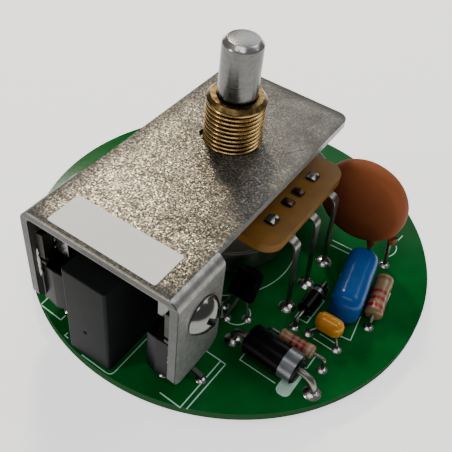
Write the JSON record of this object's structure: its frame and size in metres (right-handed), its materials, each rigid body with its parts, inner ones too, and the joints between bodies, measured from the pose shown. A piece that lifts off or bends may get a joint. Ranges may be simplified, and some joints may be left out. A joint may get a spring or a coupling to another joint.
{
  "type": "dc motor speed controller",
  "caption": "Round circuit board speed controller with a bent aluminium heat sink, a threaded-bushing potentiometer with turning shaft, tab-mounted power switches and small parts.",
  "frame": {"origin": "on the axis through the centre of the round circuit board, level with the lowest lead tips under it", "axes": "+Z along the potentiometer's shaft, away from the board; +Y along the heat sink plate's length, from its flanged front end to its rear; +X across the plate towards the potentiometer's terminals"},
  "size_m": [0.0726, 0.0726, 0.0441],
  "materials": {
    "board": "satin",
    "aluminium": "satin",
    "label": "matte",
    "brass": "satin",
    "plated_steel": "satin",
    "phenolic": "satin",
    "carbon": "matte",
    "tinned": "satin",
    "shaft_metal": "satin",
    "moulding": "matte",
    "spring_brass": "satin",
    "black_epoxy": "satin",
    "pad": "matte",
    "zinc": "gloss",
    "black_box": "matte",
    "brown_coating": "matte",
    "blue_coating": "gloss",
    "yellow_coating": "gloss",
    "silver_band": "satin",
    "tan_coating": "satin",
    "dark_sleeve": "satin",
    "solder": "gloss"
  },
  "bodies": {
    "controller": {"circuit_board": "board", "heat_sink": "aluminium", "blank_label": "label", "pot_bushing": "brass", "pot_front_plate": "plated_steel", "pot_terminal_board": "phenolic", "pot_track": "carbon", "pot_terminals": "tinned", "pot_rivets": "tinned", "pot_can": "plated_steel", "pot_rear_cap": "plated_steel", "switch_right_body": "black_epoxy", "switch_left_body": "black_epoxy", "switch_right_tab": "tinned", "switch_left_tab": "tinned", "switch_right_leads": "tinned", "switch_left_leads": "tinned", "thermal_pads": "pad", "fixing_screws": "zinc", "fixing_nuts": "zinc", "lock_washers": "zinc", "box_capacitor": "black_box", "box_pins": "tinned", "disc_body": "brown_coating", "disc_leads": "tinned", "film_body": "blue_coating", "film_leads": "tinned", "chip_cap_body": "yellow_coating", "chip_cap_leads": "tinned", "large_diode_body": "black_epoxy", "large_diode_band": "silver_band", "large_diode_leads": "tinned", "small_diode_body": "black_epoxy", "small_diode_band": "silver_band", "small_diode_leads": "tinned", "large_resistor_body": "tan_coating", "large_resistor_leads": "tinned", "small_resistor_body": "tan_coating", "small_resistor_leads": "tinned", "transistor_body": "black_epoxy", "transistor_leads": "tinned", "round_cap_can": "dark_sleeve", "round_cap_leads": "tinned", "solder_top": "solder", "solder_bottom": "solder"},
    "shaft": {"pot_shaft": "shaft_metal", "pot_rotor": "moulding", "pot_wiper": "spring_brass", "pot_clip": "plated_steel"}
  },
  "joints": [
    {"name": "shaft_turn", "type": "hinge", "parent": "controller", "child": "shaft", "pos_m": [-0.0018, -0.0011, 0.025], "axis": [0, 0, 1], "range_deg": [-150, 150]}
  ]
}
